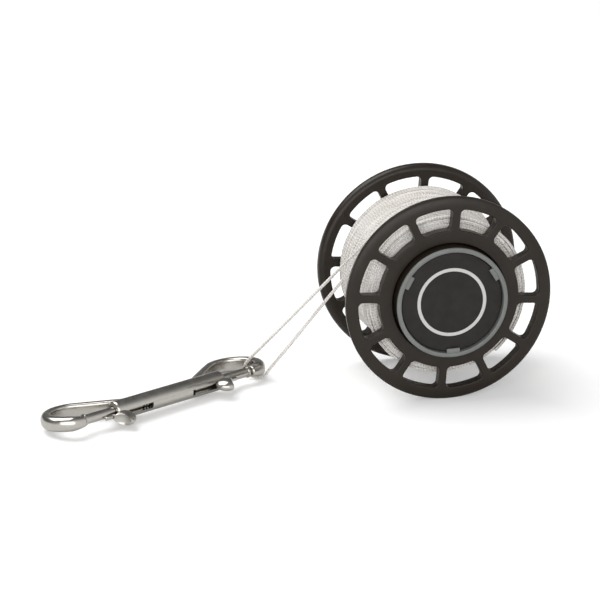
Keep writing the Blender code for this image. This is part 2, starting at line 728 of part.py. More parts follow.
def build_bolt(label, side):
    """A pin that slides in the barrel, cross-drilled for its stud."""
    profile = [
        (0, BOLT_TIP), (BOLT_RADIUS, BOLT_TIP), (BEAD_RADIUS, BOLT_TIP - BEAD_LENGTH / 3),
        (BEAD_RADIUS, BOLT_TIP - 2 * BEAD_LENGTH / 3), (BOLT_RADIUS, BOLT_TIP - BEAD_LENGTH),
        (BOLT_RADIUS, BOLT_INNER_END + BOLT_EDGE), (BOLT_RADIUS - BOLT_EDGE, BOLT_INNER_END),
        (0, BOLT_INNER_END),
    ]
    name = f"{label}_bolt"
    mesh = turned_mesh(name, profile, SMALL_STEPS)
    mesh.transform(Matrix.Rotation(side * math.pi / 2, 4, "Y"))
    bolt = add_part(name, mesh, steel, snap_frame)
    socket = cylinder_mesh(name + "_socket", STUD_STEM_RADIUS + SEAT_GAP,
                           BOLT_RADIUS - STUD_SOCKET_DEPTH, BOLT_RADIUS + CUT_OVERRUN, SMALL_STEPS)
    place = stud_place(side)
    boolean(bolt, add_cutter(socket.name, socket, snap_frame, place), "DIFFERENCE")
    return bolt


def stud_place(side):
    """Local Z points out of the slot, local X towards the snap's end."""
    outward = Matrix.Rotation(math.pi / 2, 4, "X")
    mirrored = Matrix.Rotation(0 if side > 0 else math.pi, 4, "Z")
    play = Matrix.Rotation(math.radians(-side * STUD_PLAY_DEGREES), 4, "X")
    return slot_turn @ play @ Matrix.Translation((side * STUD_DISTANCE, 0, 0)) @ outward @ mirrored


def build_stud(label, side):
    """A knob hollowed on its outer side for the thumb, on a foot in the slot and a pin in the bolt."""
    name = f"{label}_thumb_stud"
    place = stud_place(side)
    size = Matrix.Diagonal((STUD_HALF_LENGTH, STUD_HALF_WIDTH, STUD_HALF_HEIGHT, 1))
    knob = ball_mesh(name, Matrix.Translation((0, 0, STUD_CENTRE_HEIGHT)) @ size)
    stud = add_part(name, knob, steel, snap_frame, place)
    barrel = cylinder_mesh(name + "_barrel", BARREL_RADIUS + SEAT_GAP,
                           -STUD_HALF_LENGTH - CUT_OVERRUN, STUD_HALF_LENGTH + CUT_OVERRUN, ROUND_STEPS)
    barrel.transform(Matrix.Rotation(math.pi / 2, 4, "Y"))
    boolean(stud, add_cutter(barrel.name, barrel, snap_frame, place), "DIFFERENCE")
    dish_centre = Vector((STUD_HALF_LENGTH + STUD_DISH_RADIUS - STUD_DISH_DEPTH, 0,
                          STUD_CENTRE_HEIGHT + STUD_DISH_RISE))
    dish = ball_mesh(name + "_dish", Matrix.Translation(dish_centre) @ Matrix.Scale(STUD_DISH_RADIUS, 4))
    boolean(stud, add_cutter(dish.name, dish, snap_frame, place), "DIFFERENCE")
    low = BOLT_RADIUS + SEAT_GAP
    post_height = BARREL_RADIUS + STUD_FOOT_HEIGHT - low
    post = box_mesh(name + "_post", (STUD_POST_LENGTH, STUD_FOOT_WIDTH, post_height))
    centre = place @ Matrix.Translation((0, 0, low + post_height / 2))
    boolean(stud, add_cutter(post.name, post, snap_frame, centre), "UNION")
    foot = box_mesh(name + "_foot", (STUD_FOOT_LENGTH, STUD_FOOT_WIDTH, STUD_FOOT_HEIGHT))
    foot_middle = STUD_FOOT_LENGTH / 2 - STUD_POST_LENGTH / 3
    centre = place @ Matrix.Translation((foot_middle, 0, low + STUD_FOOT_HEIGHT / 2))
    boolean(stud, add_cutter(foot.name, foot, snap_frame, centre), "UNION")
    pin = cylinder_mesh(name + "_pin", STUD_STEM_RADIUS, BOLT_RADIUS - STUD_SOCKET_DEPTH + SEAT_GAP,
                        BARREL_RADIUS, SCREW_STEPS)
    boolean(stud, add_cutter(pin.name, pin, snap_frame, place), "UNION")
    return stud


def build_spring(label, side):
    """A coil spring from the barrel's web to the bolt's inner end, its ends turned to face them."""
    name = f"{label}_spring"
    foot = SPRING_FOOT + SPRING_WIRE_DIAMETER
    head = SPRING_HEAD - SPRING_WIRE_DIAMETER
    count = SPRING_CURLS * CURL_POINTS
    points = []
    for i in range(count + 1):
        share = i / count
        angle = 2 * math.pi * SPRING_CURLS * share
        points.append(Vector((side * (foot + (head - foot) * share),
                              SPRING_COIL_RADIUS * math.cos(angle),
                              SPRING_COIL_RADIUS * math.sin(angle))))
    stub = Vector((side * SPRING_WIRE_DIAMETER, 0, 0))
    points = [points[0] - stub] + points + [points[-1] + stub]
    gap = least_self_gap(points, SPRING_WIRE_DIAMETER, CURL_POINTS // 2)
    print(name + ": least gap between curls, mm:", round(gap * 1000, 2))
    mesh = tube_mesh(name, points, SPRING_WIRE_DIAMETER / 2, 1)
    return add_part(name, mesh, spring_steel, snap_frame)


empty_scene()
parts = new_collection("finger_spool")
cutters = new_collection("cutters")

black_plastic = finish("black_plastic", (0.030, 0.027, 0.024), 0.42)
grey_plastic = finish("grey_plastic", (0.20, 0.21, 0.205), 0.45)
badge_black = finish("badge_black", (0.022, 0.020, 0.018), 0.50)
white_line = finish("white_line", (0.76, 0.73, 0.69), 0.85)
steel = finish("polished_steel", (0.62, 0.59, 0.55), 0.22, 1.0)
spring_steel = finish("spring_steel", (0.45, 0.43, 0.40), 0.35, 1.0)

# The spool's frame: local X to the right, local Y up, local Z out of the front face
spool_frame = add_frame("spool_axis", None,
                        Matrix.Translation((0, 0, AXIS_HEIGHT)) @ Matrix.Rotation(math.pi / 2, 4, "X"))
rear_frame = add_frame("rear_side", spool_frame, Matrix.Rotation(math.pi, 4, "Y"))
hub_frame = add_frame("hub_axis", spool_frame)
hub_rear_frame = add_frame("hub_rear_side", hub_frame, Matrix.Rotation(math.pi, 4, "Y"))

build_flange("front_flange", spool_frame)
build_flange("rear_flange", rear_frame)
build_drum()
build_hub_half("front_hub", hub_frame, through=True)
build_hub_half("rear_hub", hub_rear_frame, through=False)
build_screws()
build_badge("front_badge", hub_frame)
build_badge("rear_badge", hub_rear_frame)
build_line_core()
build_line_turns()
build_line_loop()

# The snap's frame: local X along the barrel to the right hook, local Y to the eyes' side
swivel_frame = add_frame("snap_swivel", None, Matrix.Translation((SWIVEL_X, SWIVEL_Y, 0)))
snap_place = (Matrix.Translation((SNAP_X - SWIVEL_X, SNAP_Y - SWIVEL_Y, SNAP_HEIGHT))
              @ Matrix.Rotation(math.radians(SNAP_TURN_DEGREES), 4, "Z")
              @ Matrix.Rotation(math.radians(SNAP_PITCH_DEGREES), 4, "Y")
              @ Matrix.Rotation(math.radians(SNAP_ROLL_DEGREES), 4, "X"))
snap_frame = add_frame("snap_axis", swivel_frame, snap_place)
slot_turn = Matrix.Rotation(math.radians(SLOT_TURN_DEGREES), 4, "X")

build_snap_body()
for side_name, side_sign in (("left", -1), ("right", 1)):
    build_bolt(side_name, side_sign)
    build_stud(side_name, side_sign)
    build_spring(side_name, side_sign)
bpy.context.view_layer.update()
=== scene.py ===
"""A finger spool with white braided line and a double-ended bolt snap, dressed over its CAD frame."""
import math

import bmesh
import bpy
from mathutils import Matrix, Vector, noise


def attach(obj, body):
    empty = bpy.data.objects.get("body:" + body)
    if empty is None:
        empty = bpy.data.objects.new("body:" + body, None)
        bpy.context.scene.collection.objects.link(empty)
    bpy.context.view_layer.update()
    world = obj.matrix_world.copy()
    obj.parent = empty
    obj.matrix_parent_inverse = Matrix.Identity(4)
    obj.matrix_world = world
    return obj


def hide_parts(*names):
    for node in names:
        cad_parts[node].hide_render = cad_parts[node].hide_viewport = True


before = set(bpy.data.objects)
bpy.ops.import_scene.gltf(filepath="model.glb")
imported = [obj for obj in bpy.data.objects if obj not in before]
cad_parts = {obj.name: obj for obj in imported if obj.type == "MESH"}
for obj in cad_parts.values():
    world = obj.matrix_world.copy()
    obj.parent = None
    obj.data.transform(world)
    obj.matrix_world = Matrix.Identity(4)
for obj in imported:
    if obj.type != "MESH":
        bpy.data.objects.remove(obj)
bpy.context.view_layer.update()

# Camera: fitted to the flanges' rims, the grey ring and the windows. The photograph is
# 600 pixels square, and the lens is a long one from a little above.
IMAGE_PIXELS = 600
SENSOR = 36.0
FOCAL_PIXELS = 2709.65
CAMERA_PLACE = Vector((-0.29852, -1.08194, 0.40868))
CAMERA_RIGHT = Vector((0.9763, -0.2163, 0.0))
CAMERA_UP = Vector((0.0683, 0.3083, 0.9488))
CAMERA_BACK = Vector((-0.2052, -0.9264, 0.3158))

camera = bpy.data.objects.new("camera", bpy.data.cameras.new("camera"))
bpy.context.scene.collection.objects.link(camera)
camera.data.lens = SENSOR * FOCAL_PIXELS / IMAGE_PIXELS
camera.data.sensor_width = SENSOR
camera.data.clip_end = 20.0
turn = Matrix((CAMERA_RIGHT, CAMERA_UP, CAMERA_BACK)).transposed().to_4x4()
camera.matrix_world = Matrix.Translation(CAMERA_PLACE) @ turn
bpy.context.scene.camera = camera

# Free loop: the end of the spool's line, a round braid of white polyester yarns with a soft
# fuzzy surface, whose two sets of yarns show as small diamonds along it. It leaves the winding,
# goes round the snap's right hook and comes back, on the route that the part's own source has.
LINE_DIAMETER = 0.0014
BRAID_PITCH = 0.0026
BRAID_YARNS = 4
LOOP_STEP = 0.0011
LOOP_SIDES = 14
LOOP_ROUTE = (
    (-0.0264, -0.0020, 0.0683),
    (-0.0370, 0.0014, 0.0562),
    (-0.0502, 0.0057, 0.0411),
    (-0.0634, 0.0099, 0.0261),
    (-0.0730, 0.0130, 0.0152),
    (-0.0793, 0.0151, 0.0080),
    (-0.0801, 0.0153, 0.0063),
    (-0.0799, 0.0153, 0.0044),
    (-0.0789, 0.0149, 0.0027),
    (-0.0771, 0.0143, 0.0014),
    (-0.0748, 0.0134, 0.0009),
    (-0.0731, 0.0128, 0.0011),
    (-0.0717, 0.0123, 0.0021),
    (-0.0708, 0.0120, 0.0037),
    (-0.0658, 0.0097, 0.0110),
    (-0.0583, 0.0062, 0.0220),
    (-0.0479, 0.0014, 0.0374),
    (-0.0374, -0.0034, 0.0527),
    (-0.0291, -0.0072, 0.0649),
)


def new_material(name):
    made = bpy.data.materials.new(name)
    made.use_nodes = True
    return made, made.node_tree, made.node_tree.nodes["Principled BSDF"]


def put(tree, kind, inputs=(), **settings):
    """A node with its settings made and its inputs set or linked."""
    node = tree.nodes.new(kind)
    for key, value in settings.items():
        setattr(node, key, value)
    for key, value in dict(inputs).items():
        socket = node.inputs[key]
        if isinstance(value, bpy.types.NodeSocket):
            tree.links.new(value, socket)
        else:
            socket.default_value = value
    return node


def worked(tree, operation, *terms):
    """The value of one Math node."""
    return put(tree, "ShaderNodeMath", dict(enumerate(terms)), operation=operation).outputs[0]


def spread(tree, value, low, high, to_low, to_high):
    """A value mapped smoothly from one range to another."""
    node = put(tree, "ShaderNodeMapRange", {0: value, 1: low, 2: high, 3: to_low, 4: to_high})
    node.interpolation_type = "SMOOTHSTEP"
    return node.outputs[0]


def shades(tree, factor, stops):
    """A colour from a factor, through (place, colour) stops."""
    node = put(tree, "ShaderNodeValToRGB", {"Fac": factor})
    ramp = node.color_ramp
    while len(ramp.elements) < len(stops):
        ramp.elements.new(0.5)
    for element, (place, colour) in zip(ramp.elements, stops):
        element.position = place
        element.color = (*colour, 1.0)
    return node.outputs["Color"]


def grain(tree, scale, detail, coordinates):
    return put(tree, "ShaderNodeTexNoise", {"Vector": coordinates, "Scale": scale, "Detail": detail}).outputs[0]


def braid_material(name, pale, deep, shadow):
    """Two crossed waves make the yarns, and painted shade darkens the dips between them. Noise lays them unevenly and
    adds fuzz and worn patches.
    """
    made, tree, shader = new_material(name)
    uv = put(tree, "ShaderNodeUVMap", uv_map="tube").outputs[0]
    parts = put(tree, "ShaderNodeSeparateXYZ", {0: uv}).outputs
    along = worked(tree, "MULTIPLY", parts[0], 2 * math.pi / BRAID_PITCH)
    around = worked(tree, "MULTIPLY", parts[1], 2 * math.pi * BRAID_YARNS / 2)
    place = put(tree, "ShaderNodeTexCoord").outputs["Object"]
    laid = worked(tree, "MULTIPLY_ADD", grain(tree, 500.0, 2.0, place), 3.0, along)
    right_hand = worked(tree, "SINE", worked(tree, "ADD", laid, around))
    left_hand = worked(tree, "SINE", worked(tree, "SUBTRACT", laid, around))
    woven = worked(tree, "MULTIPLY", right_hand, left_hand)
    height = worked(tree, "MULTIPLY_ADD", grain(tree, 5200.0, 3.0, place), 0.9, woven)
    stretched = put(tree, "ShaderNodeVectorMath", {0: uv, 1: (28.0, 0.6, 0.0)}, operation="MULTIPLY").outputs[0]
    patches = grain(tree, 1.0, 4.0, stretched)
    tone = worked(tree, "MULTIPLY_ADD", patches, 1.7, spread(tree, height, -0.5, 1.5, -0.47, -0.05))
    # The colour follows the yarns' height: the dips between them are painted darker, towards the shadow colour, as
    # painted shade. Random patches shift the tone as well.
    colour = shades(tree, tone, ((0.0, shadow), (0.32, deep), (0.72, pale), (1.0, pale)))
    bump = put(tree, "ShaderNodeBump", {"Height": height, "Strength": 0.8, "Distance": 0.00030})
    tree.links.new(colour, shader.inputs["Base Color"])
    tree.links.new(bump.outputs[0], shader.inputs["Normal"])
    shader.inputs["Roughness"].default_value = 0.88
    shader.inputs["Sheen Weight"].default_value = 0.35
    shader.inputs["Sheen Roughness"].default_value = 0.5
    shader.inputs["Subsurface Weight"].default_value = 0.12
    shader.inputs["Subsurface Radius"].default_value = (0.0006, 0.0005, 0.0004)
    return made


def smooth_route(route, step):
    """Points along a centripetal curve through the route."""
    stops = [Vector(place) for place in route]
    stops = [2 * stops[0] - stops[1]] + stops + [2 * stops[-1] - stops[-2]]
    points = []
    for four in zip(stops, stops[1:], stops[2:], stops[3:]):
        knots = [0.0]
        for near, far in zip(four, four[1:]):
            knots.append(knots[-1] + math.sqrt((far - near).length))

        def mix(near, far, low, high, t):
            return near.lerp(far, (t - knots[low]) / (knots[high] - knots[low]))

        cuts = max(2, round((four[2] - four[1]).length / step))
        for i in range(cuts):
            t = knots[1] + (knots[2] - knots[1]) * i / cuts
            ends = [mix(four[k], four[k + 1], k, k + 1, t) for k in range(3)]
            middles = [mix(ends[k], ends[k + 1], k, k + 2, t) for k in range(2)]
            points.append(mix(middles[0], middles[1], 1, 2, t))
    points.append(stops[-2])
    return points


def new_tree(name, kind, inputs, outputs):
    """A node group with named sockets. It gives its input node's and its output node's sockets."""
    tree = bpy.data.node_groups.new(name, kind)
    for in_out, sockets in (("INPUT", inputs), ("OUTPUT", outputs)):
        for label, socket_type in sockets.items():
            tree.interface.new_socket(name=label, in_out=in_out, socket_type="NodeSocket" + socket_type)
    return tree, tree.nodes.new("NodeGroupInput").outputs, tree.nodes.new("NodeGroupOutput").inputs


def settled(holder, *helpers):
    """The holder's mesh with its modifiers applied. The holder and its helpers are removed."""
    bpy.context.view_layer.update()
    graph = bpy.context.evaluated_depsgraph_get()
    result = bpy.data.meshes.new_from_object(holder.evaluated_get(graph), depsgraph=graph)
    result.name = holder.data.name
    holder.modifiers.clear()
    for used in (*helpers, holder):
        bpy.data.objects.remove(used, do_unlink=True)
    return result


def held(mesh):
    """An object that holds a mesh while modifiers work on it."""
    holder = bpy.data.objects.new("holder", mesh)
    bpy.context.scene.collection.objects.link(holder)
    return holder


def grown(tree, mesh, values):
    """The plain mesh that a Geometry Nodes tree makes of a mesh, with its named inputs set."""
    holder = held(mesh)
    modifier = holder.modifiers.new("tree", "NODES")
    modifier.node_group = tree
    for item in tree.interface.items_tree:
        if item.name in values:
            modifier[item.identifier] = values[item.name]
    return settled(holder)


def as_mesh(name, shape, sharp_degrees=35):
    """A bmesh made a mesh, with its normals outwards and its edges sharp past an angle."""
    bmesh.ops.recalc_face_normals(shape, faces=shape.faces)
    mesh = bpy.data.meshes.new(name)
    shape.to_mesh(mesh)
    shape.free()
    mesh.shade_smooth()
    mesh.set_sharp_from_angle(angle=math.radians(sharp_degrees))
    return mesh


def joined(name, meshes, sharp_degrees=35):
    shape = bmesh.new()
    for mesh in meshes:
        shape.from_mesh(mesh)
        bpy.data.meshes.remove(mesh)
    return as_mesh(name, shape, sharp_degrees)


def laid_line_tree():
    """Lays a round line along a path of edges, whose marks show where the circle starts.

    Its UV map runs in metres along, and once around."""
    tree, given, result = new_tree(
        "laid_line", "GeometryNodeTree",
        {"Path": "Geometry", "Radius": "Float", "Sides": "Int", "Material": "Material"}, {"Line": "Geometry"})
    route = put(tree, "GeometryNodeMeshToCurve", {"Mesh": given["Path"]}).outputs[0]
    marks = put(tree, "GeometryNodeInputNamedAttribute", {"Name": "mark"}, data_type="FLOAT_VECTOR").outputs[0]
    route = put(tree, "GeometryNodeSetCurveNormal", {"Curve": route, "Normal": marks}, mode="FREE").outputs[0]
    section = put(tree, "GeometryNodeCurvePrimitiveCircle",
                  {"Resolution": given["Sides"], "Radius": given["Radius"]}).outputs[0]
    travelled = put(tree, "GeometryNodeSplineParameter").outputs
    kept = []
    for curve, value in ((route, travelled["Length"]), (section, travelled["Factor"])):
        keep = put(tree, "GeometryNodeCaptureAttribute", {"Geometry": curve})
        keep.capture_items.new("FLOAT", "Travelled")
        tree.links.new(value, keep.inputs["Travelled"])
        kept.append(keep.outputs)
    tube = put(tree, "GeometryNodeCurveToMesh", {"Curve": kept[0]["Geometry"], "Profile Curve": kept[1]["Geometry"],
                                                 "Fill Caps": True}).outputs[0]
    around = kept[1]["Travelled"]
    # The last strip of faces closes the circle, so its far corners are at 1 and not at 0.
    one_side = worked(tree, "DIVIDE", 1.0, given["Sides"])
    middle = put(tree, "GeometryNodeFieldOnDomain", {0: around}, domain="FACE").outputs[0]
    on_seam = worked(tree, "LESS_THAN", around, worked(tree, "MULTIPLY", one_side, 0.5))
    closing = worked(tree, "MULTIPLY", on_seam, worked(tree, "GREATER_THAN", middle, one_side))
    spot = put(tree, "ShaderNodeCombineXYZ", {0: kept[0]["Travelled"], 1: worked(tree, "ADD", around, closing)})
    mapped = put(tree, "GeometryNodeStoreNamedAttribute", {"Geometry": tube, "Name": "tube"},
                 data_type="FLOAT2", domain="CORNER")
    tree.links.new(spot.outputs[0], mapped.inputs["Value"])
    plain = put(tree, "GeometryNodeRealizeInstances", {"Geometry": mapped.outputs[0]}).outputs[0]
    finished = put(tree, "GeometryNodeSetMaterial", {"Geometry": plain, "Material": given["Material"]}).outputs[0]
    tree.links.new(finished, result[0])
    return tree


def swept(name, points, radius, sides):
    """A closed tube of braided line along the points, laid without twist."""
    path = bpy.data.meshes.new(name)
    path.from_pydata(points, [(i, i + 1) for i in range(len(points) - 1)], [])
    normal = (points[1] - points[0]).orthogonal()
    for i, mark in enumerate(path.attributes.new("mark", "FLOAT_VECTOR", "POINT").data):
        ahead = (points[min(i + 1, len(points) - 1)] - points[max(i - 1, 0)]).normalized()
        normal = (normal - ahead * normal.dot(ahead)).normalized()
        mark.vector = normal
    tube = grown(laid_line, path, {"Radius": radius, "Sides": sides, "Material": white_braid})
    return joined(name, [tube], 70)


def shown(name, mesh, material, body, slot, *nodes):
    """A piece at the origin that rides on a body and stands for CAD nodes."""
    piece = bpy.data.objects.new(name, mesh)
    bpy.context.scene.collection.objects.link(piece)
    if len(mesh.materials) < 2:
        mesh.materials.clear()
        mesh.materials.append(material)
    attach(piece, body)
    if nodes:
        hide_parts(*nodes)
    return piece


white_braid = braid_material("white_braid", (0.83, 0.805, 0.785), (0.56, 0.52, 0.465), (0.20, 0.165, 0.125))
laid_line = laid_line_tree()
loop_points = smooth_route(LOOP_ROUTE, LOOP_STEP)
loop = shown("braided_loop", swept("braided_loop", loop_points, LINE_DIAMETER / 2, LOOP_SIDES), white_braid,
             "spool", "line", "line_loop")

# Spool flanges: two discs of black glass-filled nylon, each moulded with twelve windows.
# The rim is crowned towards the front and well rounded towards the line. The drum between
# them carries both.
AXIS_HEIGHT = 0.045103
FLANGE_RADIUS = 0.0451
FLANGE_INNER = 0.0235
FLANGE_OUTER = 0.0286
CROWN_START = 0.0402
CROWN_WIDTH = 0.0050
CROWN_FALL = 0.0016
RIM_WALL = 0.0020
RIM_ROUND = 0.0026
BORE_RADIUS = 0.0249
BORE_CHAMFER = 0.0004
SEAT_RADIUS = 0.0266
SEAT_DEPTH = 0.0263
WINDOW_COUNT = 12
WINDOW_INNER = 0.0305
WINDOW_OUTER = 0.0398
WINDOW_CORNER = 0.0020
WINDOW_EDGE = 0.0005
WINDOW_SPARE = 0.001
SPOKE_WIDTH = 0.0034
SPOKE_FIRST_DEGREES = -4.0
TURN_STEPS = 192

SPOOL_PLACE = Matrix.Translation((0, 0, AXIS_HEIGHT)) @ Matrix.Rotation(math.pi / 2, 4, "X")
REAR_PLACE = SPOOL_PLACE @ Matrix.Rotation(math.pi, 4, "Y")


def turned(name, profile, steps, sharp_degrees=35):
    """A closed profile of (radius, height) points turned about local Z."""
    shape = bmesh.new()
    rings = []
    for radius, height in profile:
        if radius == 0:
            rings.append([shape.verts.new((0, 0, height))])
            continue
        rings.append([shape.verts.new((radius * math.cos(2 * math.pi * i / steps),
                                       radius * math.sin(2 * math.pi * i / steps), height))
                      for i in range(steps)])
    pairs = list(zip(rings, rings[1:]))
    if profile[0][0] > 0:
        pairs.append((rings[-1], rings[0]))
    for near, far in pairs:
        for i in range(steps):
            after = (i + 1) % steps
            corners = [near[i % len(near)], far[i % len(far)], far[after % len(far)], near[after % len(near)]]
            face = []
            for corner in corners:
                if corner not in face:
                    face.append(corner)
            if len(face) > 2:
                shape.faces.new(face)
    return as_mesh(name, shape, sharp_degrees)


def arc(centre_r, centre_z, radius, start_degrees, stop_degrees, steps):
    points = []
    for i in range(steps + 1):
        angle = math.radians(start_degrees + (stop_degrees - start_degrees) * i / steps)
        points.append((centre_r + radius * math.cos(angle), centre_z + radius * math.sin(angle)))
    return points


def prism(name, rings):
    """A closed solid through rings of points with equal counts."""
    shape = bmesh.new()
    made = [[shape.verts.new(point) for point in ring] for ring in rings]
    for near, far in zip(made, made[1:]):
        for i in range(len(near)):
            after = (i + 1) % len(near)
            shape.faces.new((near[i], near[after], far[after], far[i]))
    shape.faces.new(made[0])
    shape.faces.new(made[-1])
    return as_mesh(name, shape)


def cut(mesh, tools, operation="DIFFERENCE"):
    """The mesh after exact booleans with the tool meshes, which are used up."""
    holder = held(mesh)
    helpers = [held(tool) for tool in tools]
    for helper in helpers:
        modifier = holder.modifiers.new("cut", "BOOLEAN")
        modifier.operation = operation
        modifier.solver = "EXACT"
        modifier.object = helper
    return settled(holder, *helpers)


def evened(mesh):
    """The mesh with its large flat faces kept flat in the shading."""
    holder = held(mesh)
    holder.modifiers.new("even", "WEIGHTED_NORMAL").keep_sharp = True
    return settled(holder)


def round_the_axis_tree():
    """Repeats a piece at equal angles about Z."""
    tree, given, result = new_tree(
        "round_the_axis", "GeometryNodeTree",
        {"Piece": "Geometry", "Count": "Int", "First Angle": "Float", "Material": "Material"}, {"Ring": "Geometry"})
    number = put(tree, "GeometryNodeInputIndex").outputs[0]
    one_step = worked(tree, "DIVIDE", 2 * math.pi, given["Count"])
    angle = worked(tree, "MULTIPLY_ADD", number, one_step, given["First Angle"])
    turned_to = put(tree, "ShaderNodeCombineXYZ", {2: angle}).outputs[0]
    places = put(tree, "GeometryNodePoints", {"Count": given["Count"]}).outputs[0]
    copies = put(tree, "GeometryNodeInstanceOnPoints",
                 {"Points": places, "Instance": given["Piece"], "Rotation": turned_to}).outputs[0]
    plain = put(tree, "GeometryNodeRealizeInstances", {"Geometry": copies}).outputs[0]
    finished = put(tree, "GeometryNodeSetMaterial", {"Geometry": plain, "Material": given["Material"]}).outputs[0]
    tree.links.new(finished, result[0])
    return tree


def window_ring(grow, height):
    """The first window's rounded outline at a height, grown by its edge's rounding."""
    spacing = math.pi / WINDOW_COUNT
    corner = WINDOW_CORNER + grow
    offset = SPOKE_WIDTH / 2 + WINDOW_CORNER
    points = []
    for side, radius, outer in ((1, WINDOW_OUTER, True), (1, WINDOW_INNER, False),
                                (-1, WINDOW_INNER, False), (-1, WINDOW_OUTER, True)):
        centre_radius = radius - WINDOW_CORNER if outer else radius + WINDOW_CORNER
        angle = spacing - math.asin(offset / centre_radius)
        away = angle if outer else angle + math.pi
        across = spacing + math.pi / 2
        steps = [away + (across - away) * i / 6 for i in range(7)]
        if not outer:
            steps.reverse()
        bend = [(centre_radius * math.cos(angle) + corner * math.cos(t),
                 side * (centre_radius * math.sin(angle) + corner * math.sin(t))) for t in steps]
        if side < 0:
            bend.reverse()
        points += bend
    whole = []
    for i, point in enumerate(points):
        whole.append(point)
        after = points[(i + 1) % len(points)]
        first = math.atan2(point[1], point[0])
        last = math.atan2(after[1], after[0])
        if first * last < 0:
            radius = math.hypot(*point)
            whole += [(radius * math.cos(first + (last - first) * k / 8),
                       radius * math.sin(first + (last - first) * k / 8)) for k in range(1, 8)]
    return [(x, y, height) for x, y in whole]


def flange_mesh(name, first_degrees, place):
    front = [(BORE_RADIUS + BORE_CHAMFER, FLANGE_OUTER), (CROWN_START, FLANGE_OUTER)]
    front += [(CROWN_START + CROWN_WIDTH * math.sin(t), FLANGE_OUTER - CROWN_FALL * (1 - math.cos(t)))
              for t in (math.pi / 2 * i / 14 for i in range(1, 13))]
    side = [(FLANGE_RADIUS, FLANGE_OUTER - RIM_WALL)]
    back = arc(FLANGE_RADIUS - RIM_ROUND, FLANGE_INNER + RIM_ROUND, RIM_ROUND, 0, -90, 10)
    inner = [(SEAT_RADIUS, FLANGE_INNER), (SEAT_RADIUS, SEAT_DEPTH), (BORE_RADIUS, SEAT_DEPTH),
             (BORE_RADIUS, FLANGE_OUTER - BORE_CHAMFER)]
    disc = turned(name, front + side + back + inner, TURN_STEPS, 25)
    bends = [math.pi / 2 * i / 4 for i in range(5)]
    edge = [(WINDOW_EDGE * (1 - math.sin(t)), WINDOW_EDGE * (1 - math.cos(t))) for t in bends]
    levels = [(WINDOW_EDGE, FLANGE_OUTER + WINDOW_SPARE)]
    levels += [(grow, FLANGE_OUTER - depth) for grow, depth in edge]
    levels += [(grow, FLANGE_INNER + depth) for grow, depth in reversed(edge)]
    levels += [(WINDOW_EDGE, FLANGE_INNER - WINDOW_SPARE)]
    windows = grown(round_the_axis, prism("window", [window_ring(grow, height) for grow, height in levels]),
                    {"Count": WINDOW_COUNT, "First Angle": math.radians(first_degrees) + math.pi / WINDOW_COUNT,
                     "Material": black_nylon})
    whole = cut(disc, [joined("windows", [windows])])
    whole.transform(place)
    whole.shade_smooth()
    whole.set_sharp_from_angle(angle=math.radians(28))
    return evened(whole)


def two_tones(tree, mask, low, high, dark, light):
    """A colour between two others, as a mask rises from low to high."""
    share = put(tree, "ShaderNodeMapRange", {0: mask, 1: low, 2: high}).outputs[0]
    return put(tree, "ShaderNodeMix", {0: share, 6: dark, 7: light}, data_type="RGBA").outputs[2]


def moulded_surface_group():
    """Moulded plastic: faint mottling, a fine eggshell texture and softer scuffed patches."""
    tree, given, result = new_tree(
        "moulded_surface", "ShaderNodeTree",
        {"Vector": "Vector", "Dark": "Color", "Light": "Color", "Least Roughness": "Float", "Most Roughness": "Float"},
        {"Color": "Color", "Roughness": "Float", "Height": "Float"})
    mottle = grain(tree, 160.0, 5.0, given["Vector"])
    fine = grain(tree, 3400.0, 2.0, given["Vector"])
    scuffs = put(tree, "ShaderNodeTexNoise", {"Vector": given["Vector"], "Scale": 420.0, "Detail": 6.0,
                                              "Roughness": 0.7, "Distortion": 1.4}).outputs[0]
    tree.links.new(two_tones(tree, mottle, 0.3, 0.7, given["Dark"], given["Light"]), result["Color"])
    tree.links.new(spread(tree, scuffs, 0.35, 0.7, given["Least Roughness"], given["Most Roughness"]),
                   result["Roughness"])
    tree.links.new(fine, result["Height"])
    return tree


def surfaced(name, group, dark, light, roughness, bump, own):
    """A material with a surface group in it, a bump from the group's height, and its own settings."""
    made, tree, shader = new_material(name)
    place = put(tree, "ShaderNodeTexCoord").outputs["Object"]
    surface = put(tree, "ShaderNodeGroup",
                  {"Vector": place, "Dark": (*dark, 1.0), "Light": (*light, 1.0),
                   "Least Roughness": roughness[0], "Most Roughness": roughness[1]}, node_tree=group).outputs
    strength, depth = bump
    raised = put(tree, "ShaderNodeBump", {"Height": surface["Height"], "Strength": strength, "Distance": depth})
    tree.links.new(surface["Color"], shader.inputs["Base Color"])
    tree.links.new(surface["Roughness"], shader.inputs["Roughness"])
    tree.links.new(raised.outputs[0], shader.inputs["Normal"])
    for socket, value in own.items():
        shader.inputs[socket].default_value = value
    return made


round_the_axis = round_the_axis_tree()
moulded_surface = moulded_surface_group()
black_nylon = surfaced("black_nylon", moulded_surface, (0.0150, 0.0106, 0.0070), (0.0195, 0.0141, 0.0098),
                       (0.28, 0.42), (0.35, 0.00004), {"Specular IOR Level": 0.29})
for label, first_degrees, place in (("front", SPOKE_FIRST_DEGREES, SPOOL_PLACE),
                                    ("rear", -SPOKE_FIRST_DEGREES, REAR_PLACE)):
    shown(f"{label}_flange_disc", flange_mesh(f"{label}_flange_disc", first_degrees, place), black_nylon,
          "spool", "black_plastic", f"{label}_flange")

# Drum: the black nylon tube between the flanges that the line is wound on. The line hides
# it, so it keeps the CAD's shape.
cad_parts["drum"].data.materials.clear()
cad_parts["drum"].data.materials.append(black_nylon)

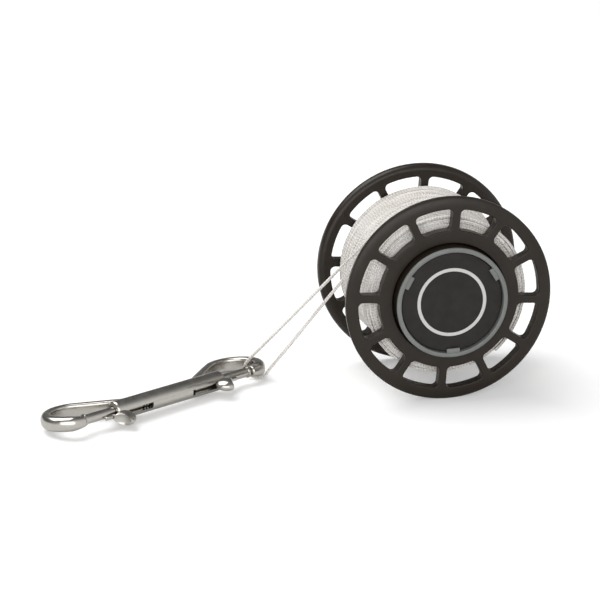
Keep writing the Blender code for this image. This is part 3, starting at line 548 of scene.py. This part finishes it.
# Hub: a grey moulding in two screwed halves that turns in the drum, so the spool spins on a
# finger. Its ring stands proud of the flange, and three tabs hold the badge in the ring.
HUB_RADIUS = 0.0244
HUB_FACE = 0.0339
HUB_RING = 0.0020
HUB_EDGE = 0.0008
HUB_SHOULDER = 0.0016
NECK_RADIUS = 0.0180
CUP_FLOOR = 0.0046
LEDGE_RADIUS = 0.0208
LEDGE_TOP = 0.0304
NECK_END = 0.00015
RING_FALL = 0.0004
RING_ROUND = 0.0009
RING_WALL = 0.0011
TAB_COUNT = 3
TAB_FIRST_DEGREES = 32.0
TAB_LENGTH = 0.0019
TAB_WIDTH = 0.0058
TAB_THICKNESS = 0.0010
TAB_EDGE = 0.00025


def rounded_box(name, size, edge):
    shape = bmesh.new()
    bmesh.ops.create_cube(shape, size=1.0, matrix=Matrix.Diagonal((*size, 1.0)))
    bmesh.ops.bevel(shape, geom=list(shape.edges), offset=edge, segments=3, affect="EDGES", profile=0.5)
    return as_mesh(name, shape, 40)


def hub_mesh(name, place):
    inside = HUB_RADIUS - HUB_RING
    profile = [(0, CUP_FLOOR), (LEDGE_RADIUS, CUP_FLOOR), (LEDGE_RADIUS, LEDGE_TOP), (inside, LEDGE_TOP)]
    profile += arc(inside + RING_FALL, HUB_FACE - RING_FALL, RING_FALL, 180, 90, 4)
    profile += arc(HUB_RADIUS - RING_ROUND, HUB_FACE - RING_ROUND, RING_ROUND, 90, 0, 8)
    profile += [(HUB_RADIUS, HUB_FACE - RING_WALL), (HUB_RADIUS, HUB_SHOULDER), (NECK_RADIUS, HUB_SHOULDER),
                (NECK_RADIUS, NECK_END), (0, NECK_END)]
    whole_tab = TAB_LENGTH + HUB_RING / 2
    tab = rounded_box("tab", (whole_tab, TAB_WIDTH, TAB_THICKNESS), TAB_EDGE)
    tab.transform(Matrix.Translation((HUB_RADIUS - HUB_RING / 2 - whole_tab / 2, 0,
                                      HUB_FACE - RING_FALL - TAB_THICKNESS / 2)))
    tabs = grown(round_the_axis, tab, {"Count": TAB_COUNT, "First Angle": math.radians(TAB_FIRST_DEGREES),
                                       "Material": grey_nylon})
    whole = joined(name, [turned(name, profile, TURN_STEPS, 30), tabs], 30)
    whole.materials.append(grey_nylon)
    whole.materials.append(black_nylon)
    # The ring's outer wall, below its rounded top edge, takes the black nylon, so it shows dark.
    for face in whole.polygons:
        on_wall = math.hypot(face.center.x, face.center.y) > HUB_RADIUS - 0.0002
        face.material_index = 1 if on_wall and face.center.z < HUB_FACE - HUB_EDGE else 0
    whole.transform(place)
    return whole


grey_nylon = surfaced("grey_nylon", moulded_surface, (0.128, 0.134, 0.128), (0.162, 0.169, 0.162),
                      (0.32, 0.46), (0.35, 0.00003), {"Specular IOR Level": 0.5})
for label, place in (("front", SPOOL_PLACE), ("rear", REAR_PLACE)):
    shown(f"{label}_hub_ring", hub_mesh(f"{label}_hub_ring", place), grey_nylon, "hub", "grey_plastic",
          f"{label}_hub")

# Badges: thin black plastic discs, pressed into the ring under its tabs and printed with one
# plain pale circle.
BADGE_RADIUS = 0.0221
BADGE_FACE = 0.0322
BADGE_BACK = 0.0307
PRINT_INNER = 0.0137
PRINT_OUTER = 0.0151
BADGE_CHAMFER = 0.0003


def badge_material():
    """The print is a circle about the spool's axis, with a slightly ragged edge."""
    made, tree, shader = new_material("badge_print")
    place = put(tree, "ShaderNodeTexCoord").outputs["Object"]
    flat = put(tree, "ShaderNodeVectorMath", {0: place, 1: (1.0, 0.0, 1.0)}, operation="MULTIPLY").outputs[0]
    radius = put(tree, "ShaderNodeVectorMath", {0: flat, 1: (0.0, 0.0, AXIS_HEIGHT)},
                 operation="DISTANCE").outputs["Value"]
    speckle = grain(tree, 2600.0, 2.0, place)
    ragged = worked(tree, "MULTIPLY_ADD", speckle, 0.0001, radius)
    inner = spread(tree, ragged, PRINT_INNER - 0.00002, PRINT_INNER + 0.00008, 0.0, 1.0)
    outer = spread(tree, ragged, PRINT_OUTER + 0.00002, PRINT_OUTER + 0.00012, 1.0, 0.0)
    ink = worked(tree, "MULTIPLY", inner, outer)
    ground = shades(tree, grain(tree, 240.0, 4.0, place), ((0.3, (0.014, 0.012, 0.010)), (0.7, (0.019, 0.017, 0.015))))
    print_tone = shades(tree, speckle, ((0.3, (0.46, 0.455, 0.445)), (0.7, (0.54, 0.535, 0.52))))
    colour = put(tree, "ShaderNodeMix", {0: ink, 6: ground, 7: print_tone}, data_type="RGBA").outputs[2]
    relief = worked(tree, "MULTIPLY_ADD", speckle, 0.25, ink)
    bump = put(tree, "ShaderNodeBump", {"Height": relief, "Strength": 0.4, "Distance": 0.00003})
    tree.links.new(colour, shader.inputs["Base Color"])
    tree.links.new(spread(tree, speckle, 0.3, 0.7, 0.42, 0.54), shader.inputs["Roughness"])
    tree.links.new(bump.outputs[0], shader.inputs["Normal"])
    shader.inputs["Specular IOR Level"].default_value = 0.22
    return made


def badge_mesh(name, place):
    profile = [(0, BADGE_FACE), (BADGE_RADIUS - BADGE_CHAMFER, BADGE_FACE),
               (BADGE_RADIUS, BADGE_FACE - BADGE_CHAMFER), (BADGE_RADIUS, BADGE_BACK), (0, BADGE_BACK)]
    mesh = turned(name, profile, TURN_STEPS, 30)
    mesh.transform(place)
    return mesh


badge_print = badge_material()
for label, place in (("front", SPOOL_PLACE), ("rear", REAR_PLACE)):
    shown(f"{label}_badge_disc", badge_mesh(f"{label}_badge_disc", place), badge_print, "hub", "badge",
          f"{label}_badge")

# Wound line: the same white braid, wound tightly in layers. It has an outer layer of touching
# turns over a plain core, and the ends of the lower layers are pressed against the flanges, as
# the windows show them.
WAIST_RADIUS = 0.0341
WINDING_RISE = 0.0019
WINDING_LEAN = 0.0004
OUTER_TURNS = 33
TURN_POINTS = 72
TURN_SIDES = 8
OUTER_START = math.radians(-50)
FLANGE_PLAY = 0.0003
END_TURNS = 5
END_INNER = 0.0288
ROW_STEP = 0.00125
CORE_INNER = 0.0279
CORE_STEPS = 24


def wound_radius(height):
    share = height / FLANGE_INNER
    return WAIST_RADIUS + WINDING_RISE * share ** 2 - WINDING_LEAN * share


def wander(place, scale, size, channel):
    """A smooth change of one value with place, the same each run."""
    return size * noise.noise(place * scale + Vector((0.0, 0.0, 7.3 * channel)))


def outer_layer():
    """The path of the outer layer's turns, from the front flange to the rear one."""
    reach = FLANGE_INNER - FLANGE_PLAY - LINE_DIAMETER / 2
    count = OUTER_TURNS * TURN_POINTS
    points = []
    for i in range(count + 1):
        share = i / count
        angle = 2 * math.pi * OUTER_TURNS * share + OUTER_START
        height = reach - 2 * reach * share
        flat = Vector((math.cos(angle), math.sin(angle), 0.62 * share * OUTER_TURNS))
        height += wander(flat, 1.3, 0.00050, 1) * min(1.0, 8 * share, 8 * (1 - share))
        radius = wound_radius(height) - LINE_DIAMETER / 2 + wander(flat, 1.9, 0.00042, 2) - 0.0001
        points.append(Vector((radius * math.cos(angle), radius * math.sin(angle), height)))
    return swept("outer_layer", points, 0.47 * LINE_DIAMETER, TURN_SIDES)


def end_layers(side, row):
    """A flat spiral of the lower layers' end turns, against one flange."""
    height = side * (FLANGE_INNER - FLANGE_PLAY - LINE_DIAMETER / 2 - row * ROW_STEP)
    outer = wound_radius(height) - 1.45 * LINE_DIAMETER
    count = END_TURNS * TURN_POINTS
    points = []
    for i in range(count + 1):
        share = i / count
        angle = side * 2 * math.pi * END_TURNS * share + 1.9 * row + 0.7 * side
        flat = Vector((math.cos(angle), math.sin(angle), share * END_TURNS / 2 + 3 * row + 5 * side))
        radius = END_INNER + (outer - END_INNER) * share
        radius += wander(flat, 2.1, 0.0007, 3) * math.sin(math.pi * share)
        depth = height - side * abs(wander(flat, 2.9, 0.0014, 4))
        points.append(Vector((radius * math.cos(angle), radius * math.sin(angle), depth)))
    return swept("end_layer", points, LINE_DIAMETER / 2, TURN_SIDES)


def line_core_mesh():
    end = FLANGE_INNER - 0.0012
    heights = [end - 2 * end * i / CORE_STEPS for i in range(CORE_STEPS + 1)]
    profile = [(wound_radius(height) - 1.15 * LINE_DIAMETER, height) for height in heights]
    profile += [(CORE_INNER, -end), (CORE_INNER, end)]
    return turned("core", profile, 96)


def wound_line_mesh():
    ends = [end_layers(side, row) for side in (1, -1) for row in (0, 1)]
    mesh = joined("wound_line", [outer_layer(), line_core_mesh()] + ends, 70)
    mesh.transform(SPOOL_PLACE)
    return mesh


shown("wound_line", wound_line_mesh(), white_braid, "spool", "line", "line_core", "line_turns")

# Bolt snap: cast and polished stainless steel. The barrel and both hooks are one casting,
# bored from each end for a sliding bolt and slotted for its thumb stud.
SNAP_PLACE = (Matrix.Translation((-0.1198, -0.0143, 0.0061)) @ Matrix.Rotation(math.radians(30.0), 4, "Z")
              @ Matrix.Rotation(math.radians(0.5), 4, "Y") @ Matrix.Rotation(math.radians(-7.4), 4, "X"))
BARREL_RADIUS = 0.0042
BARREL_HALF = 0.0296
BARREL_ROUND = 0.0012
EYE_CENTRE = 0.0443
EYE_OFFSET = 0.0081
EYE_LONG = 0.0117
EYE_WIDE = 0.0110
EYE_START = math.radians(120)
EYE_STOP = math.radians(-52)
TIP_FACE = 0.0461
TIP_OFFSET = -0.0014
BORE = 0.0024
BORE_FLOOR = 0.0012
SPARE = 0.001
CASTING_EDGE = 0.00018
WELD_DISTANCE = 0.0000002
BOLT_RADIUS = 0.0021
SLOT_WIDTH = 0.0026
SLOT_INNER = 0.0110
SLOT_DEPTH = 0.0052
SLOT_TURN = Matrix.Rotation(math.radians(14), 4, "X")
INNER_SHARE = 0.42
OUTER_SHARE = 0.88
HOOK_POINTS = 64
HOOK_ROOT = Vector((0.0134, 0.0010, 0))
HOOK_ROOT_TURN = math.radians(40)
HOOK_PULL = 0.0160
TIP_PULL = 0.0045


def softened(mesh, width, segments, angle_degrees):
    """The mesh with a small bevel on its hard edges."""
    holder = held(mesh)
    bevel = holder.modifiers.new("bevel", "BEVEL")
    bevel.width = width
    bevel.segments = segments
    bevel.limit_method = "ANGLE"
    bevel.angle_limit = math.radians(angle_degrees)
    bevel.use_clamp_overlap = True
    return settled(holder)


def welded(mesh, sharp_degrees):
    """The mesh without the collapsed faces that booleans and bevels leave."""
    shape = bmesh.new()
    shape.from_mesh(mesh)
    bmesh.ops.remove_doubles(shape, verts=shape.verts, dist=WELD_DISTANCE)
    return as_mesh(mesh.name, shape, sharp_degrees)


def eased(start, leave, stop, arrive, t):
    """A point on the curve from start to stop that leaves and arrives along two vectors."""
    return (start * (2 * t ** 3 - 3 * t ** 2 + 1) + leave * (t ** 3 - 2 * t ** 2 + t)
            + stop * (3 * t ** 2 - 2 * t ** 3) + arrive * (t ** 3 - t ** 2))


def on_eye(angle):
    return Vector((EYE_CENTRE + EYE_LONG * math.cos(angle), EYE_OFFSET + EYE_WIDE * math.sin(angle), 0))


def along_eye(angle):
    return Vector((EYE_LONG * math.sin(angle), -EYE_WIDE * math.cos(angle), 0)).normalized()


def hook_line():
    """The right hook's centre line, and half its width and height along it."""
    leave = HOOK_PULL * Vector((math.cos(HOOK_ROOT_TURN), math.sin(HOOK_ROOT_TURN), 0))
    sizes = [Vector(pair) for pair in ((0.0024, 0.0022), (0.0021, 0.0031), (0.0026, 0.0031), (0.0022, 0.0023))]
    line = []
    for i in range(16):
        place = eased(HOOK_ROOT, leave, on_eye(EYE_START), HOOK_PULL * along_eye(EYE_START), i / 16)
        line.append((place, sizes[0].lerp(sizes[1], i / 16)))
    for i in range(44):
        share = i / 44
        line.append((on_eye(EYE_START + (EYE_STOP - EYE_START) * share),
                     sizes[1].lerp(sizes[2], (1 - math.cos(math.pi * share)) / 2)))
    tip = Vector((TIP_FACE, TIP_OFFSET, 0))
    for i in range(10):
        place = eased(on_eye(EYE_STOP), TIP_PULL * along_eye(EYE_STOP), tip, Vector((-TIP_PULL, 0, 0)), i / 10)
        line.append((place, sizes[2].lerp(sizes[3], i / 10)))
    for back, less in ((0.0005, 0.0), (0.00025, 0.00013), (0.00007, 0.00032), (0.0, 0.0005)):
        line.append((tip + Vector((back, 0, 0)), sizes[3] - Vector((less, less))))
    return line


def hook_mesh(name, side):
    """A hook whose section is flat on its inner side and round on its outer side."""
    line = hook_line()
    rings = []
    for i, (centre, half) in enumerate(line):
        ahead = line[min(i + 1, len(line) - 1)][0] - line[max(i - 1, 0)][0]
        across = Vector((ahead.y, -ahead.x, 0)).normalized()
        ring = []
        for k in range(HOOK_POINTS):
            angle = 2 * math.pi * (k + 0.5) / HOOK_POINTS
            c, s = math.cos(angle), math.sin(angle)
            share = INNER_SHARE if c > 0 else OUTER_SHARE
            point = (centre + across * math.copysign(abs(c) ** share, c) * half.x
                     + Vector((0, 0, math.copysign(abs(s) ** share, s) * half.y)))
            ring.append((side * point.x, point.y, point.z))
        rings.append(ring)
    return prism(name, rings)


def rod(name, radius, low, high, steps):
    """A rod along the snap's own X."""
    mesh = turned(name, [(0, low), (radius, low), (radius, high), (0, high)], steps)
    mesh.transform(Matrix.Rotation(math.pi / 2, 4, "Y"))
    return mesh


def box(name, size, centre):
    shape = bmesh.new()
    bmesh.ops.create_cube(shape, size=1.0, matrix=Matrix.Translation(centre) @ Matrix.Diagonal((*size, 1.0)))
    return as_mesh(name, shape)


def snap_mesh():
    end = arc(BARREL_RADIUS - BARREL_ROUND, BARREL_HALF - BARREL_ROUND, BARREL_ROUND, 90, 0, 8)
    profile = [(0, BARREL_HALF)] + end + [(r, -z) for r, z in reversed(end)] + [(0, -BARREL_HALF)]
    barrel = turned("snap_casting", profile, 96)
    barrel.transform(Matrix.Rotation(math.pi / 2, 4, "Y"))
    body = cut(barrel, [hook_mesh("hook", 1), hook_mesh("hook", -1)], "UNION")
    tools = []
    for side in (1, -1):
        bore = rod("bore", BORE, BORE_FLOOR, BARREL_HALF + SPARE, 48)
        bore.transform(Matrix.Diagonal((side, 1, 1, 1)))
        if side < 0:
            bore.flip_normals()
        length = BARREL_HALF + SPARE - SLOT_INNER
        slot = box("slot", (length, SLOT_DEPTH, SLOT_WIDTH), (side * (SLOT_INNER + length / 2), -SLOT_DEPTH / 2, 0))
        slot.transform(SLOT_TURN)
        tools += [bore, slot]
    body = welded(softened(cut(body, tools), CASTING_EDGE, 2, 38), 50)
    body.transform(SNAP_PLACE)
    return body


def polished_surface_group():
    """Polished stainless steel: fine polishing scratches, faint waviness and a few dull patches."""
    tree, given, result = new_tree(
        "polished_surface", "ShaderNodeTree",
        {"Vector": "Vector", "Dark": "Color", "Light": "Color", "Least Roughness": "Float", "Most Roughness": "Float"},
        {"Color": "Color", "Roughness": "Float", "Height": "Float"})
    along = put(tree, "ShaderNodeMapping", {"Vector": given["Vector"], "Rotation": (0, 0, math.radians(-30)),
                                            "Scale": (0.12, 1.0, 1.0)}).outputs[0]
    scratches = grain(tree, 2400.0, 2.0, along)
    waves = grain(tree, 160.0, 1.0, given["Vector"])
    patches = grain(tree, 300.0, 3.0, given["Vector"])
    tree.links.new(two_tones(tree, patches, 0.3, 0.65, given["Dark"], given["Light"]), result["Color"])
    tree.links.new(spread(tree, patches, 0.3, 0.75, given["Least Roughness"], given["Most Roughness"]),
                   result["Roughness"])
    tree.links.new(worked(tree, "MULTIPLY_ADD", waves, 3.5, scratches), result["Height"])
    return tree


polished_surface = polished_surface_group()
STEEL_BUMP = (0.03, 0.00005)
polished_steel = surfaced("polished_steel", polished_surface, (0.47, 0.45, 0.415), (0.50, 0.48, 0.445),
                          (0.19, 0.27), STEEL_BUMP, {"Metallic": 1.0})
shown("snap_casting", snap_mesh(), polished_steel, "snap", "snap_steel", "snap_body")

# Bolts: turned stainless steel pins that a spring pushes out to close the hook. Each has a
# rounded collar at its nose and is cross-drilled for its stud.
BOLT_TIP = TIP_FACE - 0.0003
BOLT_INNER = 0.0146
BEAD_RADIUS = 0.0026
BEAD_ROUND = 0.00008
BEAD_START = 0.0004
BEAD_WIDTH = 0.0008


def bolt_mesh(name, side):
    profile = [(0, BOLT_TIP), (BOLT_RADIUS - 0.0002, BOLT_TIP), (BOLT_RADIUS + 0.0001, BOLT_TIP - 0.0002)]
    profile += [(BEAD_RADIUS - BEAD_ROUND + BEAD_ROUND * math.sin(math.pi * k / 6),
                 BOLT_TIP - BEAD_START - BEAD_WIDTH * k / 6) for k in range(7)]
    profile += [(BOLT_RADIUS, BOLT_TIP - 0.0015), (BOLT_RADIUS, BOLT_INNER + 0.0003),
                (BOLT_RADIUS - 0.0003, BOLT_INNER), (0, BOLT_INNER)]
    mesh = turned(name, profile, 64, 30)
    mesh.transform(Matrix.Rotation(side * math.pi / 2, 4, "Y"))
    mesh.transform(SNAP_PLACE)
    return mesh


# Thumb studs: cast stainless steel knobs, hollowed on the outer side for the thumb. Each stands
# on a foot in the barrel's slot, and its pin goes into the bolt.
STUD_DISTANCE = 0.0282
STUD_PLAY_DEGREES = 6.5
KNOB_HEIGHT = 0.0062
KNOB_HALF = (0.0050, 0.0026, 0.0047)
DISH_RADIUS = 0.0055
DISH_CENTRE = (0.0055, 0, 0.0098)
POST_SIZE = (0.0030, 0.0013, 0.0034)
POST_CENTRE = (0, 0, 0.0041)
FOOT_SIZE = (0.0090, 0.0013, 0.0016)
FOOT_CENTRE = (0.0035, 0, 0.0032)
PIN_RADIUS = 0.0007
PIN_LOW = 0.0004
PIN_HIGH = 0.0042


def stud_mesh(name, side):
    outward = Matrix.Rotation(math.pi / 2, 4, "X")
    mirrored = Matrix.Rotation(0 if side > 0 else math.pi, 4, "Z")
    play = Matrix.Rotation(math.radians(-side * STUD_PLAY_DEGREES), 4, "X")
    place = SLOT_TURN @ play @ Matrix.Translation((side * STUD_DISTANCE, 0, 0)) @ outward @ mirrored
    shape = bmesh.new()
    size = Matrix.Translation((0, 0, KNOB_HEIGHT)) @ Matrix.Diagonal((*KNOB_HALF, 1))
    bmesh.ops.create_uvsphere(shape, u_segments=64, v_segments=32, radius=1.0, matrix=size)
    knob = as_mesh(name, shape)
    barrel = rod("barrel", BARREL_RADIUS + 0.0003, -0.008, 0.008, 96)
    shape = bmesh.new()
    bmesh.ops.create_uvsphere(shape, u_segments=64, v_segments=32, radius=DISH_RADIUS,
                              matrix=Matrix.Translation(DISH_CENTRE))
    dish = as_mesh("dish", shape)
    knob = softened(cut(knob, [barrel, dish]), 0.0003, 3, 35)
    post = box("post", POST_SIZE, POST_CENTRE)
    foot = box("foot", FOOT_SIZE, FOOT_CENTRE)
    pin = turned("pin", [(0, PIN_LOW), (PIN_RADIUS, PIN_LOW), (PIN_RADIUS, PIN_HIGH), (0, PIN_HIGH)], 24)
    whole = welded(cut(knob, [softened(foot, 0.0002, 2, 30), post, pin], "UNION"), 45)
    whole.transform(SNAP_PLACE @ place)
    return whole


for label, side in (("left", -1), ("right", 1)):
    near_loop = [shown(f"{label}_bolt_pin", bolt_mesh(f"{label}_bolt_pin", side), polished_steel,
                       f"{label}_gate", "snap_steel", f"{label}_bolt"),
                 shown(f"{label}_stud_knob", stud_mesh(f"{label}_stud_knob", side), polished_steel,
                       f"{label}_gate", "snap_steel", f"{label}_thumb_stud")]

# Springs and hub screws: springs of stainless wire in the barrel behind the bolts, and steel
# screws behind the badge that hold the hub's halves. Being hidden, they keep the CAD's shape.
spring_wire = surfaced("spring_wire", polished_surface, (0.38, 0.36, 0.34), (0.48, 0.46, 0.43),
                       (0.32, 0.40), STEEL_BUMP, {"Metallic": 1.0})
screw_steel = surfaced("screw_steel", polished_surface, (0.46, 0.45, 0.43), (0.58, 0.57, 0.55),
                       (0.27, 0.35), STEEL_BUMP, {"Metallic": 1.0})
for node, material in (("left_spring", spring_wire), ("right_spring", spring_wire), ("hub_screw_1", screw_steel),
                       ("hub_screw_2", screw_steel), ("hub_screw_3", screw_steel)):
    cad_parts[node].data.materials.clear()
    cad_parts[node].data.materials.append(material)

# Floor: a plain white sheet of card, laid flat. It glows a little towards the camera alone, so
# that it is white there and still keeps the soft shadow.
FLOOR_GLOW = 0.25
FLOOR_HALF = 4.0
floor_shape = bmesh.new()
bmesh.ops.create_grid(floor_shape, x_segments=1, y_segments=1, size=FLOOR_HALF)
floor = bpy.data.objects.new("floor", as_mesh("floor", floor_shape))
bpy.context.scene.collection.objects.link(floor)
card, tree, shader = new_material("white_card")
shader.inputs["Base Color"].default_value = (0.80, 0.80, 0.80, 1.0)
shader.inputs["Roughness"].default_value = 0.9
shader.inputs["Specular IOR Level"].default_value = 0.1
seen = put(tree, "ShaderNodeLightPath").outputs["Is Camera Ray"]
glow = worked(tree, "MULTIPLY", seen, FLOOR_GLOW)
shader.inputs["Emission Color"].default_value = (1.0, 1.0, 1.0, 1.0)
tree.links.new(glow, shader.inputs["Emission Strength"])
floor.data.materials.append(card)

# Light: a studio dome that is pale low down in front and right, darker behind and overhead, a
# large soft key from the left and a wide panel in front, which the steel picks up.
world = bpy.data.worlds.new("studio")
bpy.context.scene.world = world
world.use_nodes = True
tree = world.node_tree
back = tree.nodes["Background"]
ray = put(tree, "ShaderNodeTexCoord").outputs["Generated"]
rise = put(tree, "ShaderNodeVectorMath", {0: ray, 1: (-0.30, 0.52, 0.667)},
           operation="DOT_PRODUCT").outputs["Value"]
height = worked(tree, "ADD", rise, 0.333)
sky = shades(tree, height, ((0.0, (1.0, 1.0, 1.0)), (0.24, (0.85, 0.85, 0.85)), (0.44, (0.58, 0.58, 0.58)),
                            (0.61, (0.34, 0.34, 0.34)), (0.81, (0.22, 0.22, 0.22)), (1.0, (0.14, 0.14, 0.14))))
tree.links.new(sky, back.inputs["Color"])
back.inputs["Strength"].default_value = 1.0


def soft_light(name, place, aim, size, power):
    lamp = bpy.data.lights.new(name, "AREA")
    lamp.shape = "RECTANGLE"
    lamp.size, lamp.size_y = size
    lamp.energy = power
    holder = bpy.data.objects.new(name, lamp)
    bpy.context.scene.collection.objects.link(holder)
    holder.location = place
    holder.rotation_euler = (Vector(aim) - Vector(place)).to_track_quat("-Z", "Y").to_euler()


LIGHT_AIM = (-0.05, 0.0, 0.03)
soft_light("key", (-0.62, 0.42, 1.35), LIGHT_AIM, (1.4, 1.4), 25.0)
soft_light("front_panel", (-0.55, -1.7, 0.62), LIGHT_AIM, (2.6, 1.3), 20.0)

bpy.context.scene.view_settings.view_transform = "Standard"
